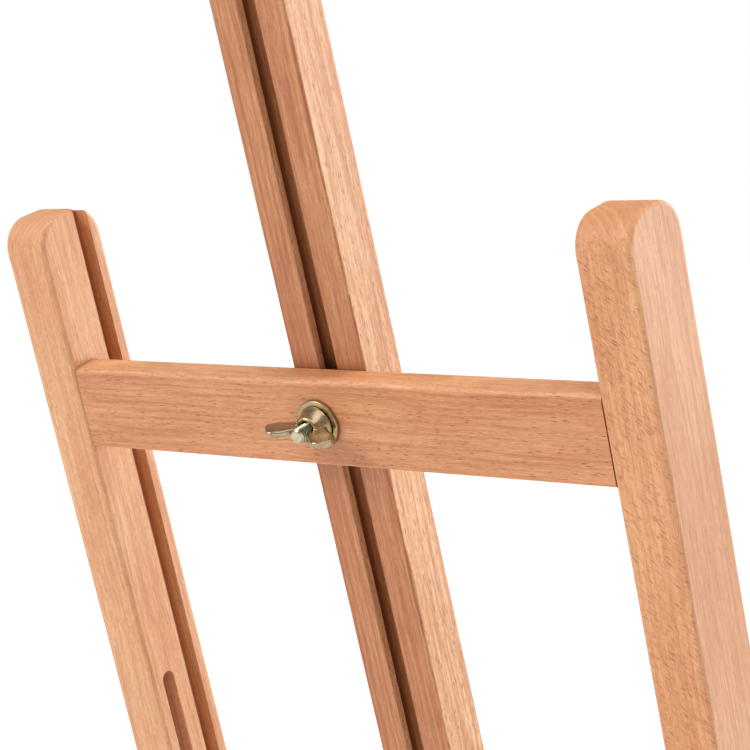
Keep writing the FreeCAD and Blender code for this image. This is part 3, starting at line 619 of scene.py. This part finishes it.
def ear(bm, side):
    """One ear: a rounded bar that widens from the hub and ends in a half circle."""
    (root_x, root_z), (tip_x, tip_z) = WING_ROOT_AT, WING_EAR_AT
    span = math.hypot(tip_x - root_x, tip_z - root_z)
    heading = Vector(((tip_x - root_x) / span * side, 0, (tip_z - root_z) / span))
    broad = Vector((-heading.z, 0, heading.x)) * side
    rows = []
    for step in range(EAR_STEPS + 1):
        way = (1 - math.cos(math.pi * step / EAR_STEPS)) / 2
        reach = -WING_ROOT_R + (span + WING_ROOT_R + WING_EAR_R) * way
        if reach < 0:
            half = math.sqrt(max(0.0, WING_ROOT_R ** 2 - reach ** 2))
        elif reach > span:
            half = WING_EAR_R * max(0.0, 1 - ((reach - span) / WING_EAR_R) ** 3) ** 0.34
        else:
            half = WING_ROOT_R + (WING_EAR_R - WING_ROOT_R) * reach / span
        thick = WING_T / 2 * (1.0 - 0.06 * max(0.0, reach) / span) * min(1.0, (half / 1.1) ** 0.5)
        row = []
        for index in range(EAR_POINTS):
            angle = math.tau * index / EAR_POINTS
            across = math.copysign(abs(math.cos(angle)) ** 0.62, math.cos(angle)) * half
            deep = math.copysign(abs(math.sin(angle)) ** 0.5, math.sin(angle)) * thick
            centre = Vector((root_x * side, 0, root_z)) + heading * reach
            row.append(bm.verts.new(centre + broad * across + Vector((0, deep, 0))))
        rows.append(row)
    for lower, upper in zip(rows, rows[1:]):
        skin(bm, lower, upper)
    bm.faces.new(rows[0])
    bm.faces.new(rows[-1])


def evaluated(bm, modifiers):
    """The mesh after modifiers, each given as its kind and settings."""
    mesh = bpy.data.meshes.new("draft")
    bm.to_mesh(mesh)
    draft = bpy.data.objects.new("draft", mesh)
    bpy.context.scene.collection.objects.link(draft)
    for kind, settings in modifiers:
        modifier = draft.modifiers.new(kind, kind)
        for key, value in settings.items():
            setattr(modifier, key, value)
    result = bpy.data.meshes.new_from_object(draft.evaluated_get(bpy.context.evaluated_depsgraph_get()))
    bpy.data.objects.remove(draft)
    bpy.data.meshes.remove(mesh)
    return result


def wing_head():
    """Hub and ears cast in one, with the small fillets of a casting."""
    bm = bmesh.new()
    ring_surface(bm, turned(HUB_OUTLINE), Matrix())
    for side in (1, -1):
        ear(bm, side)
    bmesh.ops.recalc_face_normals(bm, faces=bm.faces)
    cast = evaluated(bm, [("REMESH", {"mode": "VOXEL", "voxel_size": WING_VOXEL}),
                          ("SMOOTH", {"factor": 0.5, "iterations": 7})])
    bm.free()
    return cast


def bored(cast):
    """The casting with its bore and the countersink at the top of the bore."""
    cutter_bm = bmesh.new()
    ring_surface(cutter_bm, turned(BORE_OUTLINE), Matrix())
    bmesh.ops.recalc_face_normals(cutter_bm, faces=cutter_bm.faces)
    cutter_mesh = bpy.data.meshes.new("bore")
    cutter_bm.to_mesh(cutter_mesh)
    cutter_bm.free()
    cutter = bpy.data.objects.new("bore", cutter_mesh)
    bpy.context.scene.collection.objects.link(cutter)
    bm = bmesh.new()
    bm.from_mesh(cast)
    mesh = evaluated(bm, [("BOOLEAN", {"operation": "DIFFERENCE", "solver": "EXACT", "object": cutter})])
    bm.free()
    bpy.data.objects.remove(cutter)
    bpy.data.meshes.remove(cutter_mesh)
    return mesh


def placed_copy(bm, mesh, matrix):
    copy = mesh.copy()
    copy.transform(matrix)
    bm.from_mesh(copy)
    bpy.data.meshes.remove(copy)


def outward(points):
    """X towards the side of the easel that a solid is on."""
    return X_AXIS if sum(point.x for point in points) > 0 else -X_AXIS


def ears_of(points, way):
    """The direction across the axis in which a wing nut reaches furthest."""
    start, _, _ = seat(points, way)
    furthest = max(points, key=lambda point: (point - start - way * (point - start).dot(way)).length)
    arm = furthest - start
    return (arm - way * arm.dot(way)).normalized()


def build_bolts():
    for node, body in (("frame_hinge_bolts", "base"), ("brace_hinge_bolts", "base"), ("slot_bolts", "braces")):
        bm = bmesh.new()
        for points in solids(node):
            way = outward(points) if node == "slot_bolts" else -outward(points)
            start, length, _ = seat(points, way)
            under_head = start + way * HEAD_H * MM
            side = BRACE if node == "slot_bolts" else Y_AXIS
            carriage_bolt(bm, placing(under_head, way, side), length / MM - HEAD_H)
        add_piece(finish_mesh(node + "_threaded", bm), body, YELLOW_ZINC, "yellow_zinc", node)

    start, length, across = seat(solids("mast_clamp_bolt")[0], BACK)
    bm = bmesh.new()
    tee_bolt(bm, placing(start + BACK * TEE_HEAD_H * MM, BACK, X_AXIS), across / MM / 2,
             length / MM - TEE_HEAD_H)
    add_piece(finish_mesh("mast_clamp_bolt_threaded", bm, SHARP_TEE), "h_frame", BRIGHT_ZINC, "yellow_zinc",
              "mast_clamp_bolt")


def build_washers():
    for node, body, way in (
            ("mast_clamp_washer", "h_frame", BACK), ("frame_hinge_washers", "base", None),
            ("brace_hinge_washers", "base", None), ("frame_hinge_shims", "base", None),
            ("brace_hinge_shims", "base", None), ("slot_washers", "braces", None),
            ("slot_shims", "braces", None)):
        bm = bmesh.new()
        for points in solids(node):
            upward = way or (outward(points) if node.startswith("slot") else -outward(points))
            start, length, across = seat(points, upward)
            side = Y_AXIS if way is None else X_AXIS
            washer(bm, placing(start, upward, side), length / MM, across / MM / 2)
        add_piece(finish_mesh(node + "_stamped", bm), body, YELLOW_ZINC, "yellow_zinc", node)


def build_lock_nuts():
    for node in ("frame_hinge_nuts", "brace_hinge_nuts"):
        bm = bmesh.new()
        for points in solids(node):
            way = -outward(points)
            start, length, _ = seat(points, way)
            lock_nut(bm, placing(start, way, Y_AXIS), length / MM)
        add_piece(finish_mesh(node + "_locking", bm), "base", YELLOW_ZINC, "yellow_zinc", node)


def build_wing_pieces():
    """Three wing nuts, and the wing screw: the same casting on a threaded stem."""
    cast = wing_head()
    nut = bored(cast)
    for node in ("mast_wing_nut", "slot_wing_nut_left", "slot_wing_nut_right"):
        points = solids(node)[0]
        way = Vector(JOINTS[node + "_turn"]["axis"]).normalized()
        start, _, _ = seat(points, way)
        bm = bmesh.new()
        placed_copy(bm, nut, placing(start + way * NUT_CLEARANCE * MM, way, ears_of(points, way)))
        add_piece(finish_mesh(node + "_cast", bm, SHARP_CAST), node, YELLOW_ZINC, "yellow_zinc", node)

    way = Vector(JOINTS["clamp_screw_turn"]["axis"]).normalized()
    points = solids("clamp_wing_screw")[0]
    start, length, _ = seat(points, way)
    reach = length / MM - (WING_EAR_AT[1] + WING_EAR_R)
    bm = bmesh.new()
    placed_copy(bm, cast, placing(start + way * reach * MM, way, ears_of(points, way)))
    stem = turned(((1.75, 0.0), (2.35, 0.35)))
    stem += [ring for ring in thread(0.0, reach + 1.0) if ring[0][1] > 0.7]
    ring_surface(bm, stem, placing(start, way, Y_AXIS))
    add_piece(finish_mesh("clamp_wing_screw_cast", bm, SHARP_CAST), "clamp_wing_screw", YELLOW_ZINC,
              "yellow_zinc", "clamp_wing_screw")


def build_feet():
    bm = bmesh.new()
    for points in solids("rubber_feet"):
        start, length, across = seat(points, Z_AXIS)
        radius, height = across / MM / 2, length / MM
        outline = [(radius * 0.30, 0.45), (radius * 0.36, 0.0), (radius * 0.86, 0.0), (radius * 0.96, 0.28),
                   (radius, 0.8), (radius, height - 0.4), (radius - 0.15, height)]
        ring_surface(bm, turned(outline), placing(start, Z_AXIS, X_AXIS))
    add_piece(finish_mesh("rubber_feet_moulded", bm), "base", RUBBER, "rubber", "rubber_feet")


build_bolts()
build_washers()
build_lock_nuts()
build_wing_pieces()
build_feet()


# ======== studio ========
FLOOR_HALF = 40.0
FLOOR_TONES = ((0.86, 0.86, 0.86, 1.0), (0.90, 0.90, 0.90, 1.0))
WHITE = (1.0, 1.0, 1.0, 1.0)
BACKDROP_EDGE = (0.50, 0.92)        # how squarely a ray looks at the backdrop, at its edge and its middle
BACKDROP_LIGHT = (0.37, 5.0)        # and how bright it is there
SUNS = (("key", KEY_FROM, 1.9, 36), ("top", TOP_FROM, 1.5, 60))     # strength, and angle in degrees


def build_stage():
    mesh = bpy.data.meshes.new("floor")
    corners = [(x * FLOOR_HALF, y * FLOOR_HALF, 0) for x, y in ((-1, -1), (1, -1), (1, 1), (-1, 1))]
    mesh.from_pydata(corners, [], [(0, 1, 2, 3)])
    floor = bpy.data.objects.new("floor", mesh)
    bpy.context.scene.collection.objects.link(floor)
    g = material_graph("floor")
    base = g.mix(g.noise(g.node("TexCoord").outputs["Object"]), *FLOOR_TONES)
    mesh.materials.append(g.finish(g.node("BsdfPrincipled", {"Base Color": base, "Roughness": 0.7,
                                                             "Specular IOR Level": 0.2})))


def build_world():
    """White behind everything, brighter where the backdrop stands."""
    world = bpy.data.worlds.new("studio")
    g = Graph(world)
    toward = g.vector("DOT_PRODUCT", g.node("TexCoord").outputs["Generated"], BACKDROP_WAY)["Value"]
    lighting = g.node("Background", {"Strength": g.span(toward, *BACKDROP_EDGE, *BACKDROP_LIGHT)})
    seen = g.node("Background", {"Strength": 1.0, "Color": WHITE})
    chosen = g.node("MixShader", {"Fac": g.node("LightPath").outputs["Is Camera Ray"],
                                  1: lighting.outputs[0], 2: seen.outputs[0]})
    g.finish(chosen, "OutputWorld")
    bpy.context.scene.world = world


def sun(name, source, strength, angle):
    light = bpy.data.lights.new(name, "SUN")
    light.energy = strength
    light.angle = math.radians(angle)
    lamp = bpy.data.objects.new(name, light)
    lamp.rotation_mode = "QUATERNION"
    lamp.rotation_quaternion = source.to_track_quat("Z", "Y")
    bpy.context.scene.collection.objects.link(lamp)


def build_camera():
    data = bpy.data.cameras.new("camera")
    data.sensor_width = CAMERA_SENSOR
    data.lens = CAMERA_LENS
    data.clip_start = 0.01
    data.clip_end = 200.0
    camera = bpy.data.objects.new("camera", data)
    bpy.context.scene.collection.objects.link(camera)
    right = (CAMERA_RIGHT - CAMERA_AIM * CAMERA_RIGHT.dot(CAMERA_AIM)).normalized()
    above = right.cross(CAMERA_AIM)
    turn = Matrix((right, above, -CAMERA_AIM)).transposed()
    camera.matrix_world = Matrix.Translation(CAMERA_AT) @ turn.to_4x4()
    bpy.context.scene.camera = camera


build_stage()
build_world()
for lamp in SUNS:
    sun(*lamp)
build_camera()
bpy.context.scene.view_settings.view_transform = "Standard"
